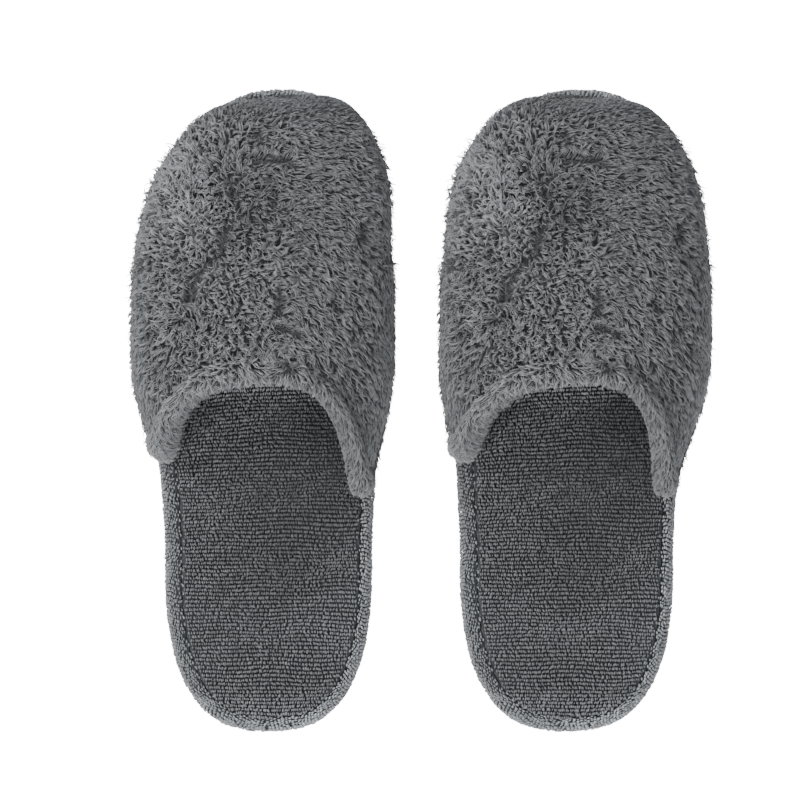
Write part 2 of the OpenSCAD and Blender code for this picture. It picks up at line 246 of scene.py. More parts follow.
def clothFinish(name, dark, light, by, rough, sheen, grain, depth, blotch=6.0, fill=0.12):
    # Cloth or foam: colour goes from dark to light by an attribute and times the tone, or by a noise alone.
    # On pile and loops the attribute runs from root to tip, so their dark roots are painted shade, and the
    # tone holds painted light and shade besides random variation. A noise of blotch (mm) varies it by the
    # share fill, and one of grain (mm) gives a bump of depth (mm).
    finish = bpy.data.materials.new(name)
    finish.use_nodes = True
    tree = finish.node_tree
    shader = tree.nodes["Principled BSDF"]
    place = addNode(tree, "ShaderNodeTexCoord", {}, {}).outputs["Object"]
    patch = addNode(tree, "ShaderNodeTexNoise", {}, {"Vector": place, "Scale": 1000 / blotch, "Detail": 3.0})
    fine = addNode(tree, "ShaderNodeTexNoise", {}, {"Vector": place, "Scale": 1000 / grain, "Detail": 2.0})
    level = patch.outputs["Fac"]
    if by:
        level = addNode(tree, "ShaderNodeAttribute", {"attribute_name": by}, {}).outputs["Fac"]
    colour = addNode(tree, "ShaderNodeMix", {"data_type": "RGBA"},
                     {0: level, 6: linear(dark), 7: linear(light)}).outputs[2]
    vary = addNode(tree, "ShaderNodeMapRange", {},
                   {0: patch.outputs["Fac"], 1: 0.3, 2: 0.7, 3: 1 - fill, 4: 1 + fill}).outputs[0]
    speck = addNode(tree, "ShaderNodeMapRange", {},
                    {0: fine.outputs["Fac"], 1: 0.3, 2: 0.7, 3: 0.88, 4: 1.1}).outputs[0]
    shade = addNode(tree, "ShaderNodeMath", {"operation": "MULTIPLY"}, {0: vary, 1: speck}).outputs[0]
    tone = shade
    if by:
        own = addNode(tree, "ShaderNodeAttribute", {"attribute_name": "tone"}, {}).outputs["Fac"]
        tone = addNode(tree, "ShaderNodeMath", {"operation": "MULTIPLY"}, {0: shade, 1: own}).outputs[0]
    scaled = addNode(tree, "ShaderNodeVectorMath", {"operation": "SCALE"},
                     {0: colour, "Scale": tone}).outputs[0]
    bump = addNode(tree, "ShaderNodeBump", {},
                   {"Height": fine.outputs["Fac"], "Distance": depth / 1000, "Strength": 0.6}).outputs[0]
    tree.links.new(scaled, shader.inputs["Base Color"])
    tree.links.new(bump, shader.inputs["Normal"])
    shader.inputs["Roughness"].default_value = rough
    shader.inputs["Sheen Weight"].default_value = sheen
    shader.inputs["Sheen Roughness"].default_value = 0.5
    shader.inputs["Specular IOR Level"].default_value = 0.25
    return finish


# Polyester plush, knitted with long cut pile: painted shade darkens each strand towards its root, between the
# tufts, and it is lighter with a soft sheen at the tips
plushPile = clothFinish("plushPile", "#5e6062", "#989a9d", "along", 0.75, 0.3, 0.25, 0.05, 9.0)
# Knitted ground of the plush, which only shows between the tufts: coloured darker than the pile as painted
# shade
plushBacking = clothFinish("plushBacking", "#494b4e", "#56585b", "", 0.95, 0.1, 0.5, 0.1)
# Cotton terry with uncut loops: dull yarn with painted shade where the loops meet the ground
terryLoops = clothFinish("terryLoops", "#505255", "#77797c", "along", 0.9, 0.2, 0.22, 0.06, 7.0)
# The terry's ground under the loops, coloured dark as painted shade between them
terryGround = clothFinish("terryGround", "#3b3d40", "#474a4d", "", 0.95, 0.1, 0.4, 0.1)
# The same terry pulled round the platform: its loops lie in ribs across the band, with painted shade at their
# roots and light on their crests
terryBand = clothFinish("terryBand", "#5d6063", "#9b9ea1", "along", 0.9, 0.25, 0.35, 0.12, 5.0)
# Spun polyester sewing thread, sunk in the seam
sewingThread = clothFinish("sewingThread", "#232426", "#3b3d40", "", 0.6, 0.1, 0.2, 0.05, 2.0)
# Short looped lining, matt
loopLining = clothFinish("loopLining", "#3a3c3f", "#4b4d50", "", 0.95, 0.2, 0.8, 0.25, 4.0)
# Needled polyester wadding, off-white and fibrous
needledPadding = clothFinish("needledPadding", "#b9b6ae", "#d6d3cb", "", 0.95, 0.2, 0.4, 0.15, 3.0)
# Polyurethane foam, cut: off-white with open cells
cushionFoam = clothFinish("cushionFoam", "#cfcbc0", "#e6e2d8", "", 0.9, 0.0, 0.5, 0.15, 3.0)
# EVA foam sheet, die-cut: closed cells, smoother
evaFoam = clothFinish("evaFoam", "#c9c6be", "#dbd8d1", "", 0.7, 0.0, 0.3, 0.06, 4.0)
# Pressed fibre board
fibreBoard = clothFinish("fibreBoard", "#9c855f", "#b89f78", "", 0.85, 0.0, 0.4, 0.08, 2.0)
# Moulded EVA outsole: even dark grey with a fine spark-eroded grain that keeps it from shining
mouldedEva = clothFinish("mouldedEva", "#3a3c3e", "#444648", "", 0.6, 0.0, 0.5, 0.08, 12.0, 0.05)

# Layers of the sole from the floor up: inset from the outline, bottom, top and rounding of the edge, in mm
layers = {
    "outsole": {"slot": "eva_outsole", "finish": mouldedEva},
    "platform_foam": {"inset": 2.45, "low": 4.05, "high": 10.35, "edge": 0.3, "slot": "eva_foam",
                      "finish": evaFoam},
    "insole_board": {"inset": 3.4, "low": 10.4, "high": 11.2, "edge": 0.1, "slot": "insole_board",
                     "finish": fibreBoard},
    "footbed_foam": {"inset": 6.35, "low": 11.25, "high": 13.95, "edge": 0.8, "slot": "cushion_foam",
                     "finish": cushionFoam},
    "footbed_ground": {"inset": 6.5, "low": 14.0, "high": 15.0, "edge": 0.3, "slot": "terry_footbed",
                       "finish": terryGround},
}
slab = {"points": 180, "inner": 6, "spineBack": 46, "spineFront": 54}
tread = {"pitch": 9, "count": 27, "wide": 2, "deep": 1.2, "margin": 9, "firstAt": 18, "inset": 2,
         "shift": 0.4, "top": 4, "edge": 0.7}


def layerPoints(s, k):
    # A slab as a stack of rings: outwards along the bottom, up round the rim, and inwards along the top. The
    # rings shrink from the outline towards a short line along the middle.
    turn = np.radians(np.linspace(0, 90, 5))
    rim = [(k["edge"] * (1 - np.sin(q)), k["low"] + k["edge"] * (1 - np.cos(q)), 0) for q in turn]
    rim += [(k["edge"] * (1 - np.cos(q)), k["high"] - k["edge"] * (1 - np.sin(q)), 0) for q in turn]
    shares = np.linspace(0.1, 0.95, slab["inner"])
    rows = [(k["edge"], k["low"], q) for q in shares[::-1]] + rim
    rows += [(k["edge"], k["high"], q) for q in shares]
    run = np.arange(slab["points"]) * s["round"] / slab["points"]
    points = []
    for depth, z, share in rows:
        x, y = edgePoint(s, run, k["inset"] + depth)
        spineY = np.clip(y, cut["heelY"] + slab["spineBack"], cut["toeY"] - slab["spineFront"])
        x, y = mix(x, middle(s, spineY) + cut["seamShift"], share), mix(y, spineY, share)
        points.append(np.stack([x, y, np.full(slab["points"], z)], -1))
    return np.array(points)


def capped(points):  # closes a stack of rings with a fan of triangles on its first and last ring
    rows, cols = points.shape[:2]
    flat = np.concatenate([points.reshape(-1, 3), points[[0, -1]].mean(1)])
    j = np.arange(cols)
    k = (j + 1) % cols
    low = np.stack([np.full(cols, rows * cols), k, j], 1)
    high = np.stack([np.full(cols, rows * cols + 1), (rows - 1) * cols + j, (rows - 1) * cols + k], 1)
    return flat, np.concatenate([gridFaces(rows, cols, True), low, high])


def zipped(points):
    # Closes a stack of rings by joining the points of one side straight across to those of the other side, so
    # that the slab has no long triangles along its length
    rows, cols = points.shape[:2]
    j = np.arange(cols // 2)
    across = np.concatenate([np.stack([j, j + 1, -j - 1 + cols], 1),
                             np.stack([j, cols - j - 1, (cols - j) % cols], 1)])
    whole = (across[:, 0] != across[:, 1]) & (across[:, 1] != across[:, 2]) & (across[:, 2] != across[:, 0])
    across = across[whole]
    return points.reshape(-1, 3), np.concatenate([
        gridFaces(rows, cols, True), across[:, ::-1], across + (rows - 1) * cols])


def outsolePoints(s):
    # The moulded sole as cross sections along y: a bottom and a top line, where the bottom is pressed up by
    # cross grooves that fade out a margin before each side.
    first = cut["heelY"] + tread["firstAt"]
    lips = np.array([-1.25, -1, -0.75, 0.75, 1, 1.25])
    grooves = first + tread["pitch"] * np.arange(tread["count"])[:, None] + lips
    ends = np.sin(np.linspace(0, np.pi / 2, 16))
    low, high = cut["heelY"] + tread["inset"] + 0.02, cut["toeY"] - tread["inset"] - 0.02
    y = np.unique(np.concatenate([grooves.ravel(), low + 17 * (1 - ends), high - 17 * (1 - ends)]))
    w = np.sin(np.linspace(-np.pi / 2, np.pi / 2, 45))
    half = soleHalf(s, y, tread["inset"])[:, None]
    x = middle(s, y)[:, None] + tread["shift"] + half * w
    beat = np.abs(np.mod(y - first + tread["pitch"] / 2, tread["pitch"]) - tread["pitch"] / 2)
    groove = ease((tread["wide"] / 2 + 0.25 - beat) / 0.5) * (y > first - 2) * (y < cut["toeY"] - 17)
    inside = ease((half - np.abs(half * w) - tread["margin"]) / 1.5)
    rim = tread["edge"] * (1 - ease((half - np.abs(half * w)) / 0.9))
    bottom = np.stack(np.broadcast_arrays(x, y[:, None], tread["deep"] * groove[:, None] * inside + rim), -1)
    top = np.stack(np.broadcast_arrays(x, y[:, None], tread["top"] - rim * 0.4), -1)
    return np.concatenate([bottom, top[:, ::-1]], 1)


print("sole layers")
for s in slippers.values():
    for name, k in layers.items():
        points, faces = capped(outsolePoints(s)) if name == "outsole" else zipped(layerPoints(s, k))
        piece = makePiece(s, name, points, faces, k["finish"], k["slot"])
        replaceBoth(s, "footbed_cover" if name == "footbed_ground" else name)
        if name == "footbed_ground":
            s["ground"] = piece
        bendWithSole(piece)


def tubes(path, wide, side):
    # Three-sided tubes along many paths at once: path is (tubes, steps, 3), wide the radius at each step, and
    # side a vector across each tube. The last step closes to a point, and the first one has a lid.
    n, steps = path.shape[:2]
    along = unit(np.gradient(path, axis=1))
    across = unit(side[:, None] - along * np.sum(along * side[:, None], -1, keepdims=True))
    out = np.cross(along, across)
    turn = np.radians([90, 210, 330])
    ring = np.cos(turn)[:, None] * across[:, :, None] + np.sin(turn)[:, None] * out[:, :, None]
    points = path[:, :-1, None] + ring[:, :-1] * wide[:, :-1, None, None]
    size = (steps - 1) * 3 + 1
    points = np.concatenate([points.reshape(n, -1, 3), path[:, -1:]], 1)
    faces = gridFaces(steps - 1, 3, True)
    last = (steps - 2) * 3
    tip = np.array([[last + j, last + (j + 1) % 3, size - 1] for j in range(3)])
    faces = np.concatenate([faces, tip, [[2, 1, 0]]])
    return points, (faces[None] + size * np.arange(n)[:, None, None]).reshape(-1, 3)


def perPoint(values, steps):  # one value for each step of each tube, repeated for the ring's three corners
    values = np.broadcast_to(values, (values.shape[0], steps))
    return np.concatenate([np.repeat(values[:, :-1], 3, axis=1), values[:, -1:]], 1)


def arches(root, up, way, k, tone, luck):
    # Each loop is an arch: along its way by the span and up by a sine, turned, leaned and sized at random
    n = len(root)
    turn = (luck.normal(0, k["turned"], n) + 0.3 * wander(root[:, 0], root[:, 1], 12, 9))[:, None]
    size = np.clip(luck.normal(1, 0.12, n), 0.7, 1.3)[:, None, None]
    lean = luck.normal(0.2, 0.35, n)[:, None, None]
    side = np.cross(up, way)
    way, side = way * np.cos(turn) + side * np.sin(turn), side * np.cos(turn) - way * np.sin(turn)
    t = np.linspace(0, 1, 4)[None, :, None]
    rise = np.sin(np.pi * t) ** 0.8 * k["high"]
    path = root[:, None] + way[:, None] * (t - 0.5) * k["span"] * size
    path = path + (up[:, None] + side[:, None] * lean * 0.5) * rise * size
    wide = k["wide"] * size[..., 0] * np.array([0.9, 1.1, 1.1, 0])
    points, faces = tubes(path, wide, side)
    # along runs from root to crest; the material paints shade at the roots by it
    along = perPoint(rise[0, :, 0][None] / k["high"] * np.ones((n, 1)), 4)
    return points, faces, along, perPoint(tone[:, None], 4)


# Loops of the footbed in mm: rows 1.66 apart, as in loop terry, from the heel to 30 mm inside the throat
loops = {"rowPitch": 1.66, "pitch": 0.86, "wide": 0.4, "high": 1.45, "span": 1.5, "turned": 0.16,
         "backY": -133, "frontY": 44, "halfWide": 48, "seam": 6.9, "rootZ": 14.85, "dimpleDeep": 0.8,
         "dimpleWide": 1.0, "seed": 11}
# How much lighter (+) or darker (-) the footbed's loops are painted at each place: painted shade in the
# stitch dimples and on the right under the vamp's wing, painted light from the throat forwards under the
# vamp, on the left of the front part, towards the front and at the heel's back, and darker in the middle and
# lighter on the heel's right
bedShade = {"stitch": -0.4, "darkMiddle": -0.28, "right": -0.22, "throat": 0.5, "left": 0.5, "front": 0.14,
            "heel": 0.28, "heelRight": 0.12}


def seamGap(x, y):
    # How far the loops stay off the edge seam: 0.45 on the left, 0.1 on the right, -0.7 (closed) at the heel
    return mix(mix(0.45, 0.1, ease((x + 20) / 40)), -0.7, ease((-112 - y) / 12))


def besideStitch(s, x, y):  # exp(-(distance / width)^2) round each dimple that a stitch pulls in
    place = KDTree(len(s["dimples"]))
    for i, q in enumerate(s["dimples"]):
        place.insert((*q, 0), i)
    place.balance()
    gone = np.array([place.find((u, v, 0))[2] for u, v in zip(x, y)])
    return np.exp(-(gone / loops["dimpleWide"]) ** 2)


def bedTone(tone, x, y):  # each ease grows from 0 to 1 over as many millimetres as it divides by
    # Painted shade on the right under the wing; painted light from the throat forwards, on the left, towards
    # the front and at the heel's back; darker in the middle and lighter on the heel's right
    darkMiddle = np.exp(-((x - 7) / 27) ** 2) * ease((y + 94) / 26) * ease((14 - y) / 20)
    tone = tone * (1 + bedShade["darkMiddle"] * darkMiddle) * (1 + bedShade["right"] * ease(x / 34) * ease((y + 72) / 40))
    tone = tone * (1 + bedShade["throat"] * ease(y / 14))
    left = bedShade["left"] * ease((y + 44) / 34) * ease((30 - x) / 34)
    tone = tone * (1 + left + bedShade["front"] * ease((y + 30) / 26))
    tone = tone * (1 + bedShade["heel"] * ease((-117 - y) / 10))
    heelRight = bedShade["heelRight"] * ease((x - 4) / 20) * ease((-68 - y) / 20) * ease((y + 118) / 10)
    return tone * (1 + heelRight)


def bedLoops(s):
    # Rows across the slipper inside the edge seam, every other one shifted by half a pitch
    luck = np.random.default_rng(loops["seed"])
    row = np.arange(loops["backY"], loops["frontY"], loops["rowPitch"])
    col = np.arange(-loops["halfWide"], loops["halfWide"], loops["pitch"])
    y, x = (q.ravel() for q in np.meshgrid(row, col, indexing="ij"))
    odd = np.round((y - loops["backY"]) / loops["rowPitch"]) % 2
    x = x + odd * 0.5 * loops["pitch"] + luck.normal(0, 0.13, x.size)
    slope = 0.07 * np.minimum(x, 0) * ease((y + 70) / 60)
    y = y + 0.6 * wander(x, y, 26, 7) + luck.normal(0, 0.09, x.size) + slope
    keep = np.abs(x) < soleHalf(s, y, loops["seam"] + seamGap(x, y))
    x, y = x[keep] + middle(s, y[keep]) + cut["seamShift"], y[keep]
    dimple = besideStitch(s, x, y) * ease((y + 127) / 12)
    keep = dimple < 0.55
    x, y, dimple = x[keep], y[keep], dimple[keep]
    # Painted shade darkens the loops that stand in a stitch's dimple
    tone = luck.normal(1, 0.07, x.size) * (1 + 0.09 * wander(x, y, 10, 8)) * (1 + bedShade["stitch"] * dimple)
    z = loops["rootZ"] + 0.25 * wander(x, y, 60, 5) + 0.12 * wander(x, y, 14, 6)
    z = z - loops["dimpleDeep"] * dimple
    up, way = np.tile([0, 0, 1.0], (x.size, 1)), np.tile([0, 1.0, 0], (x.size, 1))
    return arches(np.stack([x, y, z], -1), up, way, loops, bedTone(tone, x, y), luck)


# The side band in mm: its seam's stitches and how far they pull it in, its butt seam, and its loops
band = {"step": 1.0, "stitchPitch": 7.0, "firstStitch": 0.4, "pucker": 0.7, "puckerWide": 1.2,
        "buttSeam": 10.0, "buttDeep": 0.35, "buttWide": 0.7, "buttClear": 0.55, "rowPitch": 1.62,
        "pitch": 0.86, "wide": 0.39, "high": 1.25, "span": 1.45, "turned": 0.18, "from": 0.035, "to": 0.525,
        "seed": 12}
for s in slippers.values():
    holes = np.arange(band["firstStitch"], s["round"] - 3, band["stitchPitch"])
    s["dimples"] = np.stack(edgePoint(s, holes, loops["seam"]), -1)

print("footbed loops")
for s in slippers.values():
    points, faces, along, tone = bedLoops(s)
    piece = makePiece(s, "footbed_loops", points, faces, terryLoops, "terry_footbed", along=along, tone=tone)
    bendWithSole(piece)

# Section of the band's ground, under its loops: depth in from the outside, and height
bandSection = np.array([
    [2.2, 3.6], [1.9, 3.9], [1.35, 5.6], [1.1, 8.5], [1.6, 11.0], [2.8, 12.9], [4.5, 14.1], [5.8, 14.6],
    [6.4, 14.6], [6.45, 14.05], [3.4, 11.6], [2.45, 10.2], [2.45, 4.05], [2.3, 4.0]])


def softened(line):  # cuts each corner of a closed line at a quarter and three quarters, twice
    for _ in range(2):
        after = np.roll(line, -1, axis=0)
        line = np.stack([mix(line, after, 0.25), mix(line, after, 0.75)], 1).reshape(-1, 2)
    return line


def sectionAt(v):  # depth, height and outward normal of the band's section at share v of its length
    line = softened(bandSection)
    line = np.concatenate([line, line[:1]])
    reach = np.r_[0, np.cumsum(np.linalg.norm(np.diff(line, axis=0), axis=1))]

    def at(q):
        return np.stack([np.interp(np.mod(q, 1) * reach[-1], reach, line[:, k]) for k in (0, 1)], -1)

    tangent = unit(at(v + 0.01) - at(v - 0.01))
    here = at(v)
    return here[..., 0], here[..., 1], -tangent[..., 1], tangent[..., 0], reach[-1]


def bandPlace(s, run, depth, z):
    # A point of the band, pulled down by exp(-(distance / width)^2) round each stitch near the lip, and
    # pressed in by the same formula along the butt seam
    pitch = band["stitchPitch"]
    stitch = np.abs(np.mod(run - band["firstStitch"] + pitch / 2, pitch) - pitch / 2)
    pull = band["pucker"] * np.exp(-(stitch / band["puckerWide"]) ** 2) * ease((depth - 3) / 3)
    seam = np.abs(np.mod(run - band["buttSeam"] + 20, s["round"]) - 20)
    x, y = edgePoint(s, run, depth + band["buttDeep"] * np.exp(-(seam / band["buttWide"]) ** 2))
    return np.stack(np.broadcast_arrays(x, y, z - pull), -1), stitch, seam


def bandPoints(s):  # the section carried round the outline
    count = int(s["round"] / band["step"])
    run = np.arange(count)[:, None] * s["round"] / count
    depth, z, _, _, _ = sectionAt(np.linspace(0, 1, 30, endpoint=False))
    return bandPlace(s, run, depth, z)[0]


def bandLoops(s):
    # Rows of loops across the band, from its lower edge over the top to the seam. They stand on the section's
    # normal, and wander along the band by a sine and two random fields.
    luck = np.random.default_rng(band["seed"])
    size = sectionAt(np.array([0.0]))[4]
    rows = round(s["round"] / band["rowPitch"])
    v = np.arange(band["from"] * size, band["to"] * size, band["pitch"]) / size
    i, v = (q.ravel() for q in np.meshgrid(np.arange(rows), v, indexing="ij"))
    v = v + (i % 2) * 0.5 * band["pitch"] / size + luck.normal(0, 0.12, v.size) / size
    run = i * s["round"] / rows + luck.normal(0, 0.1, v.size)
    run = run + 0.6 * wander(run, v * size, 24, 23) + 0.9 * np.sin(v * 14 + 3 * wander(run, 0 * v, 50, 24))
    depth, z, outX, outZ, _ = sectionAt(v)
    root, stitch, seam = bandPlace(s, run, depth, z)
    ahead, _, _ = bandPlace(s, run + 0.5, depth, z)
    way = unit((ahead - root) * [1, 1, 0])
    inwards = np.cross([0, 0, 1.0], way)
    up = unit(inwards * outX[:, None] + np.array([0, 0, 1.0]) * outZ[:, None])
    near = np.exp(-(stitch / 1.1) ** 2) * ease((depth - 4.6) / 1.2) * ease((root[:, 1] + 127) / 12)
    keep = (near < 0.5) & (seam > band["buttClear"])
    # Painted shade darkens the loops near each stitch, and painted light and shade make them lighter at the
    # heel's back and on the right side and darker on the left side
    tone = luck.normal(1, 0.07, v.size) * (1 + 0.08 * wander(run, 0 * v, 11, 25)) * (1 - 0.35 * near)
    tone = tone * (1 + 0.3 * ease((-116 - root[:, 1]) / 16)) * mix(0.88, 1.3, ease((root[:, 0] + 20) / 40))
    root, up, way, tone = root[keep] - up[keep] * 0.1, up[keep], way[keep], tone[keep]
    return arches(root, up, way, band, tone, luck)


def joinedRound(points):  # faces of a closed section carried round a closed line
    rows, cols = points.shape[:2]
    return np.mod(gridFaces(rows + 1, cols, True), rows * cols)


print("side bands")
for s in slippers.values():
    points = bandPoints(s)
    piece = makePiece(s, "side_band_ground", points, joinedRound(points), terryGround, "terry_band")
    points, faces, along, tone = bandLoops(s)
    looped = makePiece(s, "side_band_loops", points, faces, terryBand, "terry_band", along=along, tone=tone)
    replaceBoth(s, "side_band")
    bendWithSole(piece)
    bendWithSole(looped)

# Sewing thread in mm: its radius, the length of a stitch and of one twist, and the seam's height
thread = {"thick": 0.4, "long": 4.8, "lay": 1.1, "height": 14.7, "start": 1.5, "heelIn": 1.3, "heelLong": 2.9,
          "heelZ": (5, 8.6), "sides": 8, "steps": 12}


def threadPoints(ends, down):
    # A stitch is a capsule along a low arch between two holes, and a wave round it is its twist
    u = np.linspace(0, 1, thread["steps"])[None, :, None, None]
    q = np.linspace(0, 2 * np.pi, thread["sides"], endpoint=False)[None, None, :, None]
    a, b = ends[:, 0][:, None, None], ends[:, 1][:, None, None]
    along = unit(b - a)
    size = np.linalg.norm(b - a, axis=-1, keepdims=True)
    side = unit(np.cross(along, down))
    thick = thread["thick"] * (1 - np.abs(2 * u - 1) ** 6) ** 0.5
    twist = 1 + 0.12 * np.cos(2 * q + 2 * np.pi * u * size / thread["lay"])
    centre = mix(a, b, u) + down * (0.5 * (2 * u - 1) ** 4)
    points = centre + thick * twist * (np.cos(q) * side + np.sin(q) * np.cross(along, side))
    steps, sides, n = thread["steps"], thread["sides"], len(ends)
    faces = gridFaces(steps, sides, True)
    faces = (faces[None] + steps * sides * np.arange(n)[:, None, None]).reshape(-1, 3)
    return weld(points.reshape(-1, 3), faces)


print("stitching")
for s in slippers.values():
    start = np.arange(thread["start"], s["round"] - 5, band["stitchPitch"])
    ends = np.stack([np.stack([*edgePoint(s, start + q, cut["seamInset"]),
                               np.full(start.size, thread["height"])], -1) for q in (0, thread["long"])], 1)
    points, faces = threadPoints(ends, np.array([0, 0, -1.0]))
    piece = makePiece(s, "edge_thread", points, faces, sewingThread, "thread")
    replaceBoth(s, "edge_stitching")
    bendWithSole(piece)
    x, y = (float(q) for q in edgePoint(s, band["buttSeam"], thread["heelIn"]))
    ends = np.array([[[x, y, z], [x, y, z + thread["heelLong"]]] for z in thread["heelZ"]])
    points, faces = threadPoints(ends, np.array([0, 1.0, 0]))
    piece = makePiece(s, "heel_thread", points, faces, sewingThread, "thread")
    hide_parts(s["name"] + "_heel_band_stitching")
    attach(piece, s["name"] + "_heel")

# How deep the pile is rooted under its outside, in mm: on the crown, on the steep sides, and at the toe's tip
rooted = {"crown": 5.6, "side": 1.3, "tip": 3.2, "cornerLow": 0.3}


def rootDepth(s, a, y):
    # The three depths blended by the arch angle and y, less the bulge where the pile fills out each corner
    rim = np.maximum(ease((y - 84) / 44), ease((np.abs(a - 90) - 45) / 70))
    corner = ease((y - 62) / 40) * (1 - ease((y - 130) / 7))
    corner = corner + rooted["cornerLow"] * ease((y - 5) / 20) * (y < 62)
    bulge = np.where(a < 90, *s["full"]) * corner * ease((np.abs(a - 90) - 22) / 50)
    return mix(mix(rooted["crown"], rooted["side"], rim), rooted["tip"], ease((y - 126) / 8)) - bulge


# Outer and inner depth of each layer under the outside of the pile. Outer 0: just over the pile's roots.
shells = {
    "vamp_backing": {"outer": 0, "inner": 6.95, "flat": (0.17, 0.15), "area": 0.0186,
                     "node": "vamp_plush", "slot": "plush_pile", "finish": plushBacking},
    "vamp_wadding": {"outer": 7.05, "inner": 8.95, "flat": (0.168, 0.148), "area": 0.0177,
                     "node": "vamp_padding", "slot": "vamp_padding", "finish": needledPadding},
    "vamp_loop_lining": {"outer": 9.0, "inner": 10.9, "flat": (0.165, 0.145), "area": 0.0168,
                         "node": "vamp_lining", "slot": "vamp_lining", "finish": loopLining},
}


def shellPoints(s, outer, inner, start):
    # Two skins of the vamp surface at two depths, with the mouth and both feet joined between them
    a = np.concatenate([np.linspace(-90, -10, 5), np.linspace(0, 180, 55), np.linspace(190, 270, 5)])
    v = np.linspace(0, 1, 36)[:, None]
    if not outer:
        outer = rootDepth(s, a, alongVamp(a, v, 3, start))
        outer = outer + mix(0.3, -0.6, ease((np.abs(a - 90) - 45) / 40))
    skins = np.stack([vampPoint(s, alongVamp(a, v, t, start), a, t) for t in (outer, inner)])
    rows, cols = v.size, a.size
    faces = gridFaces(rows, cols)
    size = rows * cols
    grid = np.arange(size).reshape(rows, cols)
    edges = [grid[0], grid[:, -1], grid[::-1, 0]]
    strips = [np.stack([e[:-1], e[:-1] + size, e[1:] + size, e[1:]], 1) for e in edges]
    strips = [np.concatenate([q[:, [0, 1, 2]], q[:, [0, 2, 3]]]) for q in strips]
    return weld(skins.reshape(-1, 3), np.concatenate([faces, faces[:, ::-1] + size, *strips]))


print("vamp shells")
for s in slippers.values():
    for name, k in shells.items():
        points, faces = shellPoints(s, k["outer"], k["inner"], cut["rollLen"] - 0.2)
        piece = makePiece(s, name, points, faces, k["finish"], k["slot"])
        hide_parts(s["name"] + "_" + k["node"])
        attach(piece, s["name"] + "_forefoot")
        s[name] = piece

# Throat roll in mm: how deep and how far in front of the edge its section's middle lies, and its half sizes
roll = {"middle": 5.5, "back": 5.2, "deep": 4.2, "long": 4.0}


def rollPoint(s, a, q):
    # Round the roll's section by the angle q, an ellipse: q = 0 is outside and 90 degrees is the back
    t = roll["middle"] - roll["deep"] * np.cos(q)
    return vampPoint(s, throatEdge(a) + roll["back"] - roll["long"] * np.sin(q), a, t)


print("throat rolls")
for s in slippers.values():
    a = np.linspace(-90, 270, 220)[:, None]
    q = np.linspace(0, 2 * np.pi, 24, endpoint=False)
    points, faces = capped(rollPoint(s, a, q))
    piece = makePiece(s, "throat_roll_core", points, faces, plushBacking, "plush_pile")
    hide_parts(s["name"] + "_throat_roll")
    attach(piece, s["name"] + "_forefoot")

# Pile of one slipper: strands on vamp and roll, their length and radius in mm, and how many make a tuft
# A strand stands for a lock of fibres, because single ones are too fine to show.
pile = {"count": 31000, "rollCount": 6000, "long": 5.2, "thick": 0.23, "steps": 4, "perTuft": 2.6,
        "startAt": 5.0, "combWide": 11, "seed": 3}
# How the pile lies: its lean from the surface's normal in degrees, and its turning and curl in radians
lie = {"lean": 71, "tangled": 9, "waved": 14, "tuftLean": 9, "eachLean": 5, "steepLean": 83, "tuftTurn": 0.75,
       "eachTurn": 0.16, "waveTurn": 0.8, "curl": 0.5, "parted": 0.9}
# How much longer (+) or shorter (-) a strand is at each place
pileLength = {"crease": -0.3, "steep": -0.32, "whorl": 0.6, "foot": -0.3, "tip": 0.8, "rimLeft": 0.5,
              "rimRight": -0.1, "rimMiddle": -0.3}
# How much lighter (+) or darker (-) it is painted there: painted shade in the creases, on the left side
# towards the throat and near the floor round the toe, painted highlight along the throat's rim (strongest on
# the roll's left), painted light on the toe's left and on the right side, lighter at the whorls and darker
# round the middle of the toe
pileShade = {"whorl": 0.12, "crease": -0.6, "rollLeft": 0.46, "rim": 0.06, "leftLow": -0.14, "leftToe": 0.24,
             "right": 0.14, "ball": -0.32, "foot": -0.45}
# Combing strokes over the vamp: x, y, and the way the pile lies there
strokes = np.array([
    [0, 130, 1, -0.2], [-28, 122, 0.2, 0.5], [26, 120, 0.9, -0.4], [-40, 100, -0.8, 0.5],
    [-20, 104, -0.5, 0.4], [-46, 76, -0.9, -0.1], [-32, 74, -0.8, -0.4], [-18, 84, -0.7, -0.3],
    [-52, 46, -0.4, -0.9], [-40, 54, -0.6, -0.6], [-56, 18, -0.1, -1], [-48, 0, 0, -1], [-44, -14, 0.2, -1],
    [6, 98, 0.8, -0.2], [26, 92, 0.9, -0.3], [44, 80, 0.6, -0.7], [0, 72, 0.8, -0.4], [20, 62, 0.7, -0.6],
    [42, 50, 0.4, -0.9],
    [54, 40, 0.2, -1], [54, 8, 0.2, -1], [8, 46, 0.6, -0.7], [-14, 40, 0.3, -0.9], [28, 36, 0.6, -0.8],
    [-6, 26, 0.1, -1], [20, 20, 0.3, -1], [-26, 22, -0.2, -1], [42, 8, 0.5, -1], [46, -20, 0.2, -1]], float)
# Whorls where the pile turns round a point: x, y, radius, and how hard it turns
whorls = np.array([[-35, 39, 8, 3.4], [12, 21, 8, -3.2], [-2, 20, 6, 2.4], [-28, 88, 9, -2.2],
                   [5, 66, 8, 2.0], [-33, 100, 6, 2.4]])
# Creases where the pile parts: the two ends of each, and how wide it is
creases = np.array([
    [-7, 106, 12, 105, 2.5], [-11, 99, -11, 92, 3], [-13, 77, -16, 69, 3], [-16, 69, -25, 57, 3],
    [-25, 57, -29, 48, 3], [-29, 48, -30, 38, 3], [5, 91, 4, 86, 3], [-4, 118, -2, 114, 2.5],
    [-40, 92, -38, 86, 3], [42, 79, 42, 74, 3.5], [-45, 40, -44, 34, 3.5], [7, 50, 8, 42, 3],
    [6, 36, 16, 32, 2.5], [-36, 40, -35, 38, 2], [12, 19, 14, 17, 2], [30, 47, 32, 43, 2.5],
    [-50, 66, -49, 61, 3]])


